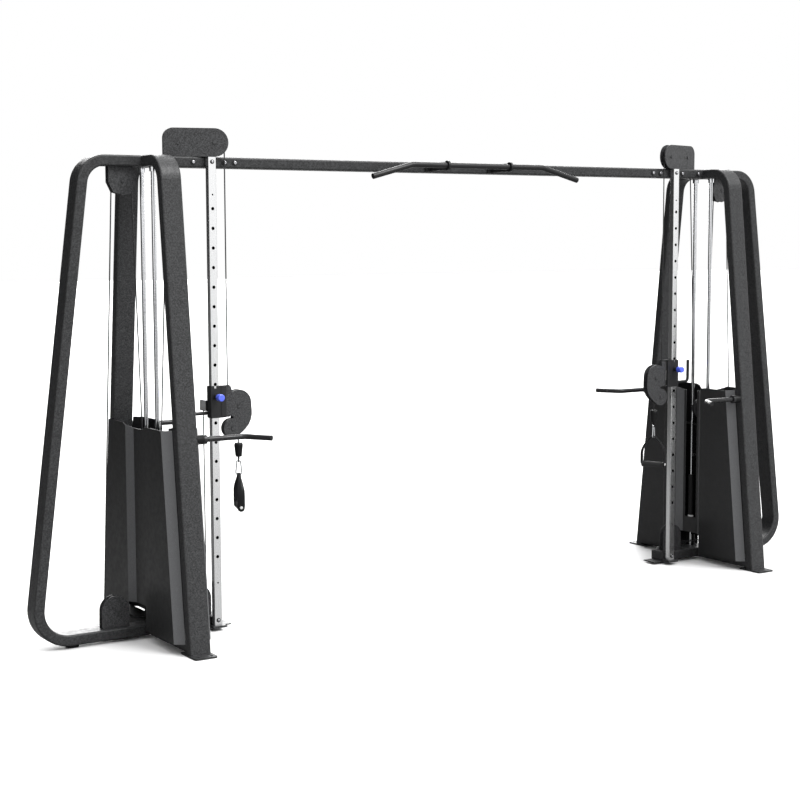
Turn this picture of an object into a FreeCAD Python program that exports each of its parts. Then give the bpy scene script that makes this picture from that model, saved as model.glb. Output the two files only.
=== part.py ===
"""Dual-tower cable crossover machine, modelled as an assembly of separate pieces.

Frame: X runs along the crossbeam, -Y is the front (the side the index holes face), +Z is up.
The origin is on the floor, midway between the two towers. All lengths are millimetres.
Each tower is drawn once, for the +X side, and mirrored in the plane X = 0.
"""
import FreeCAD, Part
import math
import os
from FreeCAD import Vector as V

os.makedirs("parts", exist_ok=True)

# ---------------------------------------------------------------- driving dimensions
TUBE_THIN = 50.0          # flat frame tube, thin way
TUBE_WIDE = 100.0         # flat frame tube, wide way
TUBE_WALL = 3.0
TUBE_CORNER = 9.0
FRAME_TOP = 2210.0        # top of the crossbeam and both tower arches
RAIL_BASE = 15.0          # underside of the base rails
TOWER_X = 1697.0          # centre of each tower
BEAM_END_X = 1360.0       # where the crossbeam meets the tower's top rail

LOOP_FOOT_X = 2322.5      # outer face of the slanted outer leg, carried down to the floor
LOOP_LEAN = 0.1289        # inward run of that face per unit of height
LOOP_TOP_R = 110.0        # centreline bend radii
LOOP_BASE_R = 140.0

ARCH_FOOT_Y = 486.5       # outer face of the arch legs, carried down to the floor
ARCH_LEAN = 0.1088
ARCH_TOP_R = 100.0

POST_X = 1415.0           # guide post
POST_W = 40.0
POST_D = 30.0
POST_BACK_Y = -60.0
POST_WALL = 3.0
POST_BASE_Z = 25.0
POST_TOP_Z = 2208.0
HOLE_PITCH = 90.0
HOLE_COUNT = 19
HOLE_FIRST_Z = 352.5
HOLE_R = 8.0
STOP_HOLES_Z = (228.0, 2036.5)
STOP_HOLE_R = 4.0
END_HOLES_Z = (49.0, 2186.0)
END_HOLE_R = 5.5

CABLE_R = 3.0
PULLEY_R = 48.0           # radius of the cable's centreline round a frame pulley
PULLEY_RIM = 8.0          # rim height outside the cable's centreline
PULLEY_W = 20.0
AXLE_R = 6.0
RUN_FIT = 0.05
PLATE_IN = 13.0           # half gap between a pair of guard plates
PLATE_T = 4.0

GUARD_YAW = 15.5          # degrees, the top guard turns from the post to the tower's centre plane
TOP_PULLEY = (1388.0, -56.0, 2275.0)
TOP_PULLEY_GAP = 168.0
GUARD_R = 65.0
GUARD_LENGTH = 236.0
OUTER_TOP = (1825.0, 0.0, 2097.0)
OUTER_BASE = (1900.0, 0.0, 145.0)
INNER_BASE = (1482.0, 0.0, 145.0)

ROD_SPACING = 124.0       # stack guide rods, front to back
ROD_R = 10.0
PLATE_W = 70.0            # weight plates, along X
PLATE_L = 340.0           # weight plates, along Y
PLATE_H = 30.0
PLATE_CENTRE_X = 1703.0
STACK_BASE_Z = 130.0
PLATES_RESTING = 15
PLATES_LIFTED = 5
HEAD_H = 40.0
STACK_PULLEY_R = 45.0
STACK_PULLEY_Z = 862.0

SHROUD_TOP_Z = 990.0
SHROUD_BASE_Z = 48.0
SHROUD_T = 3.0
SHROUD_STAND = 40.0       # how far a shroud's flat stands off the arch's side
SHROUD_BEVEL = 33.0
SHROUD_RECESS = 25.0      # depth of the upright channel down each shroud's middle
RECESS_HALF = 98.0
RECESS_FLOOR = 60.0
SLOT_HALF = 45.0
SLOT_BASE_Z = 239.0
NOTCH_TOP_Z = 150.0

CARRIAGE_Z = (1006.0, 1156.0)
CARRIAGE_WALL = 6.0
CARRIAGE_PLAY = 1.0
HOOK_X = 1546.0           # the bent storage hook on the carriage's outer side
HOOK_Y = -57.0
HOOK_Z = 1027.0
HOOK_TOP_Z = 1149.0
FLANGE_T = 6.0
FLANGE_R = 11.0
TRUNNION_R = 7.0
PIN_Z = 1104.0            # the pull pin's tip stands just off the post, between two index holes
UPPER_R = 50.0            # carriage bracket pulleys, cable centreline radii
UPPER_Z = 1056.0
LOWER_R = 36.0
LOWER_IN = 18.0
LOWER_Z = 952.0

HANDLE_Z = 946.0          # fixed grip handles on the arch legs
HANDLE_R = 12.5
PULLUP_Y = -207.0
PULLUP_Z = 2190.0
PULLUP_R = 14.0

STOPPER_TOP_Z = 880.0     # what hangs on the training cable
STOPPER_BASE_Z = 814.0
EYE_Z = 795.0
LINK_H = 66.0
GRIP_Z = 577.0
GRIP_HALF = 60.0
TURN = {"left": 71.0, "right": -64.0}   # heading of each hanging grip, degrees from +X

BEAM_Z = FRAME_TOP - TUBE_THIN / 2
RAIL_Z = RAIL_BASE + TUBE_THIN / 2
ARCH_IN = TOWER_X - TUBE_WIDE / 2
ARCH_OUT = TOWER_X + TUBE_WIDE / 2
BEAM_FRONT = -TUBE_WIDE / 2
YAW = math.radians(GUARD_YAW)
DROP_X = TOP_PULLEY[0] - PULLEY_R * math.cos(YAW)     # the training cable's upright run
DROP_Y = TOP_PULLEY[1] - PULLEY_R * math.sin(YAW)
POST_FRONT_Y = POST_BACK_Y - POST_D


# ---------------------------------------------------------------- helpers
def block(x0, x1, y0, y1, z0, z1):
    return Part.makeBox(x1 - x0, y1 - y0, z1 - z0, V(x0, y0, z0))


def rod(start, end, radius):
    a = V(*start)
    b = V(*end)
    return Part.makeCylinder(radius, (b - a).Length, a, b - a)


def fused(shapes):
    whole = shapes[0]
    for piece in shapes[1:]:
        whole = whole.fuse(piece)
    return whole.removeSplitter()


def rounded_route(points, radii):
    """Edges of straight runs joined by tangent arcs; radii are those at the inner points."""
    pts = [V(*p) for p in points]
    edges = []
    here = pts[0]
    for i in range(1, len(pts) - 1):
        back = (pts[i - 1] - pts[i]).normalize()
        ahead = (pts[i + 1] - pts[i]).normalize()
        turn = math.pi - back.getAngle(ahead)
        reach = radii[i - 1] * math.tan(turn / 2)
        start = pts[i] + back * reach
        end = pts[i] + ahead * reach
        centre_way = (back + ahead).normalize()
        centre = pts[i] + centre_way * (radii[i - 1] / math.cos(turn / 2))
        middle = centre - centre_way * radii[i - 1]
        edges.append(Part.LineSegment(here, start).toShape())
        edges.append(Part.Arc(start, middle, end).toShape())
        here = end
    edges.append(Part.LineSegment(here, pts[-1]).toShape())
    return edges


def edge_start(edge):
    return edge.valueAt(edge.FirstParameter), edge.tangentAt(edge.FirstParameter)


def round_bar(points, radii, radius):
    """A bent round bar as its straight lengths and its bends, end to end."""
    lengths = []
    for edge in rounded_route(points, radii):
        start, way = edge_start(edge)
        ring = Part.Wire(Part.makeCircle(radius, start, way))
        lengths.append(Part.Wire([edge]).makePipeShell([ring], True, False))
    return lengths


def flat_ring(centre, along, across, size_across, binormal, size_bi, corner):
    """A closed rounded rectangle standing square to the direction called along."""
    a = across * (size_across / 2)
    b = binormal * (size_bi / 2)
    ca = across * corner
    cb = binormal * corner
    k = 1 - math.sqrt(0.5)
    edges = []
    for sa, sb in ((1, 1), (-1, 1), (-1, -1), (1, -1)):
        tip = centre + a * sa + b * sb
        on_a = tip - cb * sb
        on_b = tip - ca * sa
        mid = tip - (ca * sa + cb * sb) * k
        first, last = (on_a, on_b) if sa * sb > 0 else (on_b, on_a)
        edges.append((first, mid, last))
    wire = []
    for i in range(4):
        first, mid, last = edges[i]
        wire.append(Part.Arc(first, mid, last).toShape())
        wire.append(Part.LineSegment(last, edges[(i + 1) % 4][0]).toShape())
    return Part.Wire(wire)


def flat_tube(points, radii, normal, thin, wide, wall=TUBE_WALL, corner=TUBE_CORNER):
    """A bent flat tube as its straight lengths and bends: thin lies in the plane of the bends.

    Gives the hollow lengths and the same lengths filled in."""
    normal = V(*normal)
    hollow = []
    filled = []
    for edge in rounded_route(points, radii):
        start, way = edge_start(edge)
        across = way.cross(normal).normalize()
        route = Part.Wire([edge])
        outer = flat_ring(start, way, across, thin, normal, wide, corner)
        inner = flat_ring(start, way, across, thin - 2 * wall, normal, wide - 2 * wall, corner - wall)
        skin = route.makePipeShell([outer], True, False)
        core = route.makePipeShell([inner], True, False)
        hollow.append(skin.cut(core))
        filled.append(skin)
    return hollow, filled


def plate(outline, y0, y1):
    """A flat plate square to Y from (x, z) outline points; a third value bows that side."""
    edges = []
    for i, point in enumerate(outline):
        a = V(point[0], y0, point[1])
        nxt = outline[(i + 1) % len(outline)]
        b = V(nxt[0], y0, nxt[1])
        if len(point) > 2:
            chord = b - a
            side = V(chord.z, 0, -chord.x).normalize()
            edges.append(Part.Arc(a, a + chord * 0.5 + side * point[2], b).toShape())
        else:
            edges.append(Part.LineSegment(a, b).toShape())
    return Part.Face(Part.Wire(edges)).extrude(V(0, y1 - y0, 0))


def disc(x, z, radius, y0, y1):
    return rod((x, y0, z), (x, y1, z), radius)


def pulley(cable_radius, bore=AXLE_R + RUN_FIT):
    """A grooved pulley about the Y axis at the origin, with a raised hub and a dished web."""
    rim = cable_radius + PULLEY_RIM
    seat = cable_radius - CABLE_R - 0.3
    half = PULLEY_W / 2
    web = half - 4
    section = [(bore, -half), (bore + 9, -half), (bore + 11, -web), (seat - 7, -web),
               (seat - 4, -half), (rim, -half), (rim, -7), (seat, -3.7),
               (seat, 3.7), (rim, 7), (rim, half), (seat - 4, half),
               (seat - 7, web), (bore + 11, web), (bore + 9, half), (bore, half)]
    corners = [V(r, y, 0) for r, y in section]
    face = Part.Face(Part.makePolygon(corners + corners[:1]))
    return face.revolve(V(0, 0, 0), V(0, 1, 0), 360)


def place(shape, at, yaw=0.0):
    moved = shape.copy()
    if yaw:
        moved.rotate(V(0, 0, 0), V(0, 0, 1), yaw)
    moved.translate(V(*at))
    return moved


def mirrored(shape):
    return shape.mirror(V(0, 0, 0), V(1, 0, 0))


def both(shapes):
    """The same pieces on the +X tower and, mirrored, on the -X tower, as one compound."""
    solids = [solid for shape in shapes for solid in shape.Solids]
    return Part.makeCompound(solids + [mirrored(s) for s in solids])


def save(name, shape):
    solids = shape.Solids
    bad = [i for i, s in enumerate(solids) if not s.isValid()]
    volume = sum(s.Volume for s in solids)
    print(name, len(solids), "solids", round(volume / 1000), "cm3", "INVALID %s" % bad if bad else "")
    shape.exportStep("parts/%s.step" % name)


def save_pair(name, shape):
    save(name + "_right", shape)
    save(name + "_left", mirrored(shape))


# ---------------------------------------------------------------- bent frame tubes
def side_loop():
    """Base rail, slanted outer leg and top rail of one tower: one bent tube, drawn length by length."""
    def centre_x(z):
        return LOOP_FOOT_X - TUBE_THIN / 2 * math.hypot(1, LOOP_LEAN) - LOOP_LEAN * z
    points = [(ARCH_OUT, 0, BEAM_Z), (centre_x(BEAM_Z), 0, BEAM_Z),
              (centre_x(RAIL_Z), 0, RAIL_Z), (ARCH_OUT, 0, RAIL_Z)]
    lengths, _ = flat_tube(points, (LOOP_TOP_R, LOOP_BASE_R), (0, 1, 0), TUBE_THIN, TUBE_WIDE)
    return Part.makeCompound(lengths)


def arch_y(z):
    """Centreline of the front leg (as a positive distance) at a height."""
    return ARCH_FOOT_Y - TUBE_THIN / 2 * math.hypot(1, ARCH_LEAN) - ARCH_LEAN * z


def arch():
    """Front leg, top rail and rear leg of one tower: one bent tube, drawn length by length."""
    low = -30.0
    points = [(TOWER_X, -arch_y(low), low), (TOWER_X, -arch_y(BEAM_Z), BEAM_Z),
              (TOWER_X, arch_y(BEAM_Z), BEAM_Z), (TOWER_X, arch_y(low), low)]
    lengths, skins = flat_tube(points, (ARCH_TOP_R, ARCH_TOP_R), (1, 0, 0), TUBE_THIN, TUBE_WIDE)
    below = block(TOWER_X - 200, TOWER_X + 200, -700, 700, -100, FOOT_T)
    return Part.makeCompound([piece.cut(below) for piece in lengths]), skins


def beam_tube(x0, x1, z):
    """A straight rail along X: thin upright, wide front to back."""
    lengths, _ = flat_tube([(x0, 0, z), (x1, 0, z)], (), (0, 1, 0), TUBE_THIN, TUBE_WIDE)
    return lengths[0]


FOOT_T = 8.0

arch_tube, arch_skins = arch()
save_pair("arch_frame", arch_tube)
save_pair("side_loop", side_loop())

cross_tubes, _ = flat_tube([(TOWER_X, -450, RAIL_Z), (TOWER_X, 450, RAIL_Z)], (), (1, 0, 0),
                           TUBE_THIN, TUBE_WIDE)
cross_tube = cross_tubes[0].cut(arch_skins[0]).cut(arch_skins[-1])
cross_tube = max(cross_tube.Solids, key=lambda s: s.Volume)
STUB_END_X = 1388.0
stub_tube = beam_tube(STUB_END_X + 3, ARCH_IN, RAIL_Z)
stub_cap = block(STUB_END_X, STUB_END_X + 3, -49, 49, RAIL_BASE + 1, RAIL_BASE + 49)
save("base_rails", both([cross_tube, stub_tube, stub_cap]))

# the stack cable drops through a round hole in the tower's top rail
B_TOP = (TOP_PULLEY[0] + (TOP_PULLEY_GAP + PULLEY_R) * math.cos(YAW),
         TOP_PULLEY[1] + (TOP_PULLEY_GAP + PULLEY_R) * math.sin(YAW), TOP_PULLEY[2])
B_END = (TOWER_X - STACK_PULLEY_R, 0.0, STACK_PULLEY_Z)
cable_hole = rod((B_TOP[0] + 3, B_TOP[1], 2150), (B_TOP[0] + 3, B_TOP[1], 2220), 11)
top_rail = beam_tube(BEAM_END_X, ARCH_IN, BEAM_Z).cut(cable_hole)
crossbeam = beam_tube(-BEAM_END_X, BEAM_END_X, BEAM_Z)
insert_gap = 0.3
inserts, _ = flat_tube([(BEAM_END_X - 120, 0, BEAM_Z), (BEAM_END_X + 120, 0, BEAM_Z)], (), (0, 1, 0),
                      TUBE_THIN - 2 * (TUBE_WALL + insert_gap), TUBE_WIDE - 2 * (TUBE_WALL + insert_gap),
                      4.0, TUBE_CORNER - TUBE_WALL)
save("crossbeam", Part.makeCompound([crossbeam, both([top_rail, inserts[0]])]))


# ---------------------------------------------------------------- plates, feet, fasteners
def foot_plate(side):
    """The plate under one arch leg, its toe drilled for two floor bolts."""
    body = block(TOWER_X - 55, TOWER_X + 55, 395, 545, 0, FOOT_T)
    for dx in (-FLOOR_BOLT_X, FLOOR_BOLT_X):
        body = body.cut(rod((TOWER_X + dx, FLOOR_BOLT_Y, -1), (TOWER_X + dx, FLOOR_BOLT_Y, FOOT_T + 1), 7))
    corners = [e for e in body.Edges if abs(e.Vertexes[0].Z - e.Vertexes[-1].Z) > 5
               and e.Vertexes[0].Point.distanceToPoint(e.Vertexes[-1].Point) > 5
               and abs(e.Vertexes[0].Y - 545) < 1]
    body = body.makeFillet(12, corners)
    if side < 0:
        body = body.mirror(V(0, 0, 0), V(0, 1, 0))
    return body


FLOOR_BOLT_X = 32.0
FLOOR_BOLT_Y = 522.0
post_plate = block(POST_X - 34, POST_X + 34, -106, BEAM_FRONT, RAIL_BASE, POST_BASE_Z)
toe_plate = block(STUB_END_X - 62, STUB_END_X + 60, -46, 46, RAIL_BASE - 6, RAIL_BASE)
post_block = block(POST_X - 20, POST_X + 20, POST_BACK_Y, BEAM_FRONT, POST_BASE_Z, RAIL_BASE + TUBE_THIN)
top_block = block(POST_X - 20, POST_X + 20, POST_BACK_Y, BEAM_FRONT, FRAME_TOP - TUBE_THIN + 6, FRAME_TOP - 6)
save("mounting_plates", both([foot_plate(1), foot_plate(-1), post_plate, toe_plate, post_block, top_block]))


def cap_bolt(x, z, y=BEAM_FRONT, head=11.0):
    """A washer and a domed head standing on a face that looks to the front."""
    washer = rod((x, y - 2, z), (x, y, z), head + 3)
    dome = Part.makeSphere(head * 1.25, V(x, y - 2 + head * 0.75, z))
    dome = dome.common(rod((x, y - 14, z), (x, y - 2, z), head))
    return washer.fuse(dome)


bolt_places = [(BEAM_END_X - 81, BEAM_Z), (BEAM_END_X - 28, BEAM_Z), (BEAM_END_X + 132, BEAM_Z),
               (ARCH_IN - 36, BEAM_Z)]
post_bolts = [cap_bolt(POST_X, z, POST_FRONT_Y, 7.0) for z in END_HOLES_Z]
save("frame_bolts", both([cap_bolt(x, z) for x, z in bolt_places] + post_bolts))


# ---------------------------------------------------------------- guide post
def guide_post():
    x0 = POST_X - POST_W / 2
    body = block(x0, x0 + POST_W, POST_FRONT_Y, POST_BACK_Y, POST_BASE_Z, POST_TOP_Z)
    body = body.makeFillet(3, [e for e in body.Edges if e.Length > 1000])
    body = body.cut(block(x0 + POST_WALL, x0 + POST_W - POST_WALL, POST_FRONT_Y + POST_WALL,
                          POST_BACK_Y - POST_WALL, POST_BASE_Z + 3, POST_TOP_Z - 3))
    holes = [(HOLE_FIRST_Z + i * HOLE_PITCH, HOLE_R) for i in range(HOLE_COUNT)]
    holes += [(z, STOP_HOLE_R) for z in STOP_HOLES_Z]
    for z, radius in holes:
        body = body.cut(rod((POST_X, POST_FRONT_Y - 1, z), (POST_X, POST_FRONT_Y + 5, z), radius))
    return body


save("guide_posts", both([guide_post()]))


# ---------------------------------------------------------------- pulley guards and their axles
def axle(x, z, reach=PLATE_IN + PLATE_T):
    shank = disc(x, z, AXLE_R, -reach, reach)
    heads = [disc(x, z, 9, reach, reach + 4), disc(x, z, 9, -reach - 4, -reach)]
    return fused([shank] + heads)


def guard(outline, axles, spacers):
    """Two plates with the axles and spacer tubes that hold them together, centred on Y = 0."""
    front = plate(outline, -PLATE_IN - PLATE_T, -PLATE_IN)
    back = plate(outline, PLATE_IN, PLATE_IN + PLATE_T)
    pieces = [front, back]
    pieces += [disc(x, z, 5, -PLATE_IN - 1, PLATE_IN + 1) for x, z in spacers]
    pieces += [axle(x, z) for x, z in axles]
    return fused(pieces)


def quarter(radius):
    return radius * (1 - math.sqrt(0.5))


R = GUARD_R
top_outline = [(0, -R, -R), (0, R), (GUARD_LENGTH - 45, R, -quarter(45)), (GUARD_LENGTH, R - 45),
               (GUARD_LENGTH, -R)]
top_guard = guard(top_outline, [(0, 0), (TOP_PULLEY_GAP, 0)], [(84, -48), (GUARD_LENGTH - 9, -52)])
top_guard = place(top_guard, TOP_PULLEY, GUARD_YAW)


def hanging_cover():
    """The cover under the top rail: rounded below, drawn in towards the rail above."""
    up = FRAME_TOP - TUBE_THIN - OUTER_TOP[2]
    side = 68.0
    outline = [(-side, 15), (-side, -12), (-side + 25, -57, ), (0, -66), (side - 22, -52),
               (side, -8), (side, up), (-side + 18, up)]
    return place(guard(outline, [(0, 0)], [(-46, 48)]), OUTER_TOP)


def standing_cover(at):
    """A cover that stands on the base rail: rounded above, square below."""
    down = RAIL_BASE + TUBE_THIN - at[2]
    side = 66.0
    box_part = plate([(-side, down), (-side, 0), (side, 0), (side, down)], -PLATE_IN - PLATE_T, -PLATE_IN)
    front = box_part.fuse(disc(0, 0, side, -PLATE_IN - PLATE_T, -PLATE_IN)).removeSplitter()
    back = front.mirror(V(0, 0, 0), V(0, 1, 0))
    spacer = disc(52, -66, 5, -PLATE_IN - 1, PLATE_IN + 1)
    return place(fused([front, back, spacer, axle(0, 0)]), at)


save("pulley_guards", both([top_guard, hanging_cover(), standing_cover(OUTER_BASE),
                            standing_cover(INNER_BASE)]))

frame_pulley = pulley(PULLEY_R)
second = (TOP_PULLEY[0] + TOP_PULLEY_GAP * math.cos(YAW),
          TOP_PULLEY[1] + TOP_PULLEY_GAP * math.sin(YAW), TOP_PULLEY[2])
save_pair("top_inner_pulley", place(frame_pulley, TOP_PULLEY, GUARD_YAW))
save_pair("top_outer_pulley", place(frame_pulley, second, GUARD_YAW))
save_pair("loop_top_pulley", place(frame_pulley, OUTER_TOP))
save_pair("loop_base_pulley", place(frame_pulley, OUTER_BASE))
save_pair("post_base_pulley", place(frame_pulley, INNER_BASE))


# ---------------------------------------------------------------- fixed cable
def arc_bar(edges, radius, start, way):
    ring = Part.Wire(Part.makeCircle(radius, V(*start), V(*way)))
    return Part.Wire(edges).makePipeShell([ring], True, False)


def turn_edge(centre, radius, from_deg, to_deg):
    """An arc in the X-Z plane about a centre; angles run from +X towards +Z."""
    spots = []
    for share in (0.0, 0.5, 1.0):
        a = math.radians(from_deg + (to_deg - from_deg) * share)
        spots.append(V(centre[0] + radius * math.cos(a), centre[1], centre[2] + radius * math.sin(a)))
    return Part.Arc(*spots).toShape(), spots[0], spots[2]


over_in, s0, e0 = turn_edge((0, 0, 0), PULLEY_R, 180, 90)
over_out, s1, e1 = turn_edge((TOP_PULLEY_GAP, 0, 0), PULLEY_R, 90, 0)
top_cable = arc_bar([over_in, Part.LineSegment(e0, s1).toShape(), over_out], CABLE_R, s0, (0, 0, 1))
top_cable = place(top_cable, TOP_PULLEY, GUARD_YAW)

run_dx = OUTER_BASE[0] - OUTER_TOP[0]
run_dz = OUTER_TOP[2] - OUTER_BASE[2]
lean = math.degrees(math.atan2(run_dx, run_dz))
a_dx = OUTER_TOP[0] - PULLEY_R - (TOWER_X + STACK_PULLEY_R)
a_lean = math.degrees(math.atan2(a_dx, OUTER_TOP[2] - STACK_PULLEY_Z))
top_turn, s2, e2 = turn_edge(OUTER_TOP, PULLEY_R, 180 - a_lean, lean)
base_turn, s3, e3 = turn_edge(OUTER_BASE, PULLEY_R, lean, -90)
post_turn, s4, e4 = turn_edge(INNER_BASE, PULLEY_R, -90, -180)
start_way = (-math.sin(math.radians(180 - a_lean)), 0, math.cos(math.radians(180 - a_lean)))
outer_cable = arc_bar([top_turn, Part.LineSegment(e2, s3).toShape(), base_turn,
                       Part.LineSegment(e3, s4).toShape(), post_turn], CABLE_R, s2, start_way)
save("fixed_cables", both([top_cable, outer_cable]))

# runs that lengthen and shorten
save_pair("cable_upper_run", rod((DROP_X, DROP_Y, UPPER_Z), (DROP_X, DROP_Y, TOP_PULLEY[2]), CABLE_R))
LUG_X = INNER_BASE[0] - PULLEY_R
LUG_Z = 1036.0
save_pair("cable_lower_run", rod((LUG_X, 0, INNER_BASE[2]), (LUG_X, 0, LUG_Z), CABLE_R))

stack_centre = (TOWER_X, 0.0, STACK_PULLEY_Z)
under, s5, e5 = turn_edge(stack_centre, STACK_PULLEY_R, 180, 360)


# ---------------------------------------------------------------- weight stack
ROD_Y = ROD_SPACING / 2
STEM_R = 12.0


def weight_plate(z0, height=PLATE_H):
    x0 = PLATE_CENTRE_X - PLATE_W / 2
    body = block(x0, x0 + PLATE_W, -PLATE_L / 2, PLATE_L / 2, z0, z0 + height)
    body = body.makeChamfer(2.5, [e for e in body.Edges if abs(e.Vertexes[0].Z - e.Vertexes[-1].Z) < 1])
    for y in (-ROD_Y, ROD_Y):
        body = body.cut(rod((TOWER_X, y, z0 - 1), (TOWER_X, y, z0 + height + 1), ROD_R + 1.5))
    return body


def pin_hole(z0):
    mid = z0 + PLATE_H / 2
    return rod((PLATE_CENTRE_X - PLATE_W, 0, mid), (TOWER_X, 0, mid), 5.5)


resting = []
for i in range(PLATES_RESTING):
    z0 = STACK_BASE_Z + i * PLATE_H
    piece = weight_plate(z0).cut(rod((TOWER_X, 0, z0 - 1), (TOWER_X, 0, z0 + PLATE_H + 1), STEM_R + 2))
    resting.append(piece.cut(pin_hole(z0)))
save("resting_plates", both(resting))

lifted_base = STACK_BASE_Z + PLATES_RESTING * PLATE_H
head_z = lifted_base + PLATES_LIFTED * PLATE_H
lifted = []
for i in range(PLATES_LIFTED):
    z0 = lifted_base + i * PLATE_H
    piece = weight_plate(z0).cut(rod((TOWER_X, 0, z0 - 1), (TOWER_X, 0, z0 + PLATE_H + 1), STEM_R))
    lifted.append(piece.cut(pin_hole(z0)))
head = weight_plate(head_z, HEAD_H)
yoke_outline = [(-24, head_z + HEAD_H - STACK_PULLEY_Z - 2), (-24, 10), (-12, 22), (12, 22), (24, 10),
                (24, head_z + HEAD_H - STACK_PULLEY_Z - 2)]
yoke = place(guard(yoke_outline, [(0, 0)], []), stack_centre)
stem = rod((TOWER_X, 0, STACK_BASE_Z + 10), (TOWER_X, 0, head_z + 1), STEM_R)
stem = stem.cut(pin_hole(lifted_base))
under_bar = arc_bar([under], CABLE_R, s5, (0, 0, -1))
save_pair("stack_head", Part.makeCompound(lifted + [fused([head, yoke]), stem.cut(head), under_bar]))
save_pair("stack_pulley", place(pulley(STACK_PULLEY_R), stack_centre))

PIN_MID = lifted_base + PLATE_H / 2
pin_face = PLATE_CENTRE_X - PLATE_W / 2
stack_pin = fused([rod((pin_face - 6, 0, PIN_MID), (TOWER_X - 2, 0, PIN_MID), 5),
                   rod((pin_face - 22, 0, PIN_MID), (pin_face - 6, 0, PIN_MID), 8)])
save_pair("selector_pin", stack_pin)

RUN_GAP = 0.2             # a hair's gap where the slanted run meets the cable off the top pulley
save_pair("stack_cable_in", rod((B_TOP[0], B_TOP[1], B_TOP[2] - RUN_GAP), tuple(s5), CABLE_R))
save_pair("stack_cable_out", rod(tuple(e5), tuple(s2), CABLE_R))

# guide rods with collars, the rubber bumpers under the stack, and the sleeved bump rod
rods = []
bumpers = []
ROD_FOOT_Z = RAIL_BASE + TUBE_THIN
for y in (-ROD_Y, ROD_Y):
    rods.append(rod((TOWER_X, y, ROD_FOOT_Z), (TOWER_X, y, FRAME_TOP - TUBE_THIN), ROD_R))
    bumper = rod((TOWER_X, y, ROD_FOOT_Z), (TOWER_X, y, STACK_BASE_Z), 24)
    bumpers.append(bumper.cut(rod((TOWER_X, y, 0), (TOWER_X, y, 500), ROD_R + 0.2)))
    collar = rod((TOWER_X, y, FRAME_TOP - TUBE_THIN - 22), (TOWER_X, y, FRAME_TOP - TUBE_THIN), 17)
    rods.append(collar.cut(rod((TOWER_X, y, 2000), (TOWER_X, y, 2300), ROD_R)))
BUMP_X = 1651.0
BUMP_Y = 15.0
rods.append(rod((BUMP_X, BUMP_Y, 480), (BUMP_X, BUMP_Y, 792), 5))
rods.append(rod((BUMP_X, BUMP_Y, ROD_FOOT_Z), (BUMP_X, BUMP_Y, 237), 5))
save("guide_rods", both(rods))
sleeve = rod((BUMP_X, BUMP_Y, 237), (BUMP_X, BUMP_Y, 480), 15)
PAD_PLACES = ((2106.0, RAIL_BASE), (1378.0, RAIL_BASE - 6))
pads = [rod((x, 0, 0), (x, 0, top), 30) for x, top in PAD_PLACES]
save("rubber_parts", both(bumpers + [sleeve] + pads))


# ---------------------------------------------------------------- shrouds
def fold_line(z, outward):
    """Plan corners of a shroud at a height, from the leg in to the channel's floor, for the +Y half."""
    base = ARCH_OUT if outward > 0 else ARCH_IN
    leg = arch_y(z) - TUBE_THIN / 2 * math.hypot(1, ARCH_LEAN)
    face = base + outward * SHROUD_STAND
    floor = face - outward * SHROUD_RECESS
    return [(base, leg), (face, leg - SHROUD_BEVEL), (face, RECESS_HALF), (floor, RECESS_FLOOR)]


def strip(low, high, z0, z1, outward, side):
    """One flat of a folded sheet: two plan corners at z0 and at z1, with the sheet's thickness behind."""
    sections = []
    for corners, z in ((low, z0), (high, z1)):
        (xa, ya), (xb, yb) = corners
        ring = [(xa, ya), (xb, yb), (xb - outward * SHROUD_T, yb - (1.5 if xa == xb else 0)), (xa, ya - 4.2)]
        if xa == xb:
            ring = [(xa, ya), (xb, yb), (xb - outward * SHROUD_T, yb), (xa - outward * SHROUD_T, ya)]
        elif abs(xb - xa) > SHROUD_RECESS + 1:
            ring = [(xa, ya), (xb, yb), (xb - outward * SHROUD_T, yb), (xa, ya - 4.2)]
        else:
            ring = [(xa, ya), (xb, yb), (xb - outward * SHROUD_T, yb), (xa - outward * SHROUD_T, ya)]
        sections.append(Part.makePolygon([V(x, side * y, z) for x, y in ring + ring[:1]]))
    return Part.makeLoft(sections, True, True)


def shroud(outward):
    """A folded sheet as its flats: bevel, main flat and channel side, front and rear, and the floor."""
    z0 = SHROUD_BASE_Z
    z1 = SHROUD_TOP_Z
    low = fold_line(z0, outward)
    high = fold_line(z1, outward)
    near = TOWER_X + outward * 20
    far = TOWER_X + outward * 140
    x0, x1 = min(near, far), max(near, far)
    scoop = [(-125, z1), (-60, z1 - 22), (60, z1 - 22), (125, z1), (125, z1 + 20), (-125, z1 + 20)]
    face = Part.Face(Part.makePolygon([V(x0, y, z) for y, z in scoop + scoop[:1]]))
    scoop = face.extrude(V(x1 - x0, 0, 0))
    notch = block(x0, x1, -RECESS_HALF, RECESS_HALF, z0 - 10, NOTCH_TOP_Z)
    flats = []
    for side in (-1, 1):
        for i in range(3):
            flat = strip(low[i:i + 2], high[i:i + 2], z0, z1, outward, side)
            flats.append(flat.cut(scoop).cut(notch))
    floor = low[3][0]
    xa, xb = sorted((floor, floor - outward * SHROUD_T))
    if outward > 0:
        flats.append(block(xa, xb, -RECESS_FLOOR, RECESS_FLOOR, NOTCH_TOP_Z, z1 - 22))
    else:
        flats.append(block(xa, xb, -RECESS_FLOOR, -SLOT_HALF, NOTCH_TOP_Z, z1 - 22))
        flats.append(block(xa, xb, SLOT_HALF, RECESS_FLOOR, NOTCH_TOP_Z, z1 - 22))
        flats.append(block(xa, xb, -SLOT_HALF, SLOT_HALF, NOTCH_TOP_Z, SLOT_BASE_Z))
    return Part.makeCompound(flats)


save("outer_shrouds", both([shroud(1)]))
save("inner_shrouds", both([shroud(-1)]))


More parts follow.
